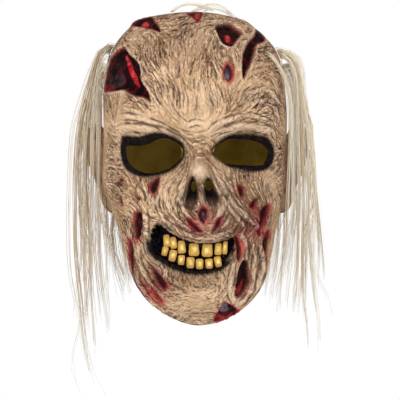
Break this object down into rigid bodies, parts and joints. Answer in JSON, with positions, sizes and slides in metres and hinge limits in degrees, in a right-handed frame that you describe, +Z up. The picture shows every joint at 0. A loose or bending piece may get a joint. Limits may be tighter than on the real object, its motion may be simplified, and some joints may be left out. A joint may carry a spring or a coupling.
{
  "type": "zombie mask",
  "caption": "Full-head latex horror mask with open eye holes, a torn bald crown, a toothy grin and long thin hair from its sides.",
  "frame": {"origin": "the point inside the crown where the mask sits on the wearer's head, named by the mount crown_seat", "axes": "+Z up through the crown, -Y out of the face, +X to the right of someone who looks at the face"},
  "size_m": [0.243, 0.2562, 0.3724],
  "materials": {
    "latex": "painted matt latex, tan with dark washed creases and red wounds",
    "enamel": "glossy yellowed teeth",
    "hair": "long thin pale synthetic hair"
  },
  "bodies": {
    "root": {"mask_skin": "latex", "upper_teeth": "enamel", "lower_teeth": "enamel", "hair_left": "hair", "hair_right": "hair", "hair_back": "hair", "hair_crown": "hair"}
  },
  "joints": []
}
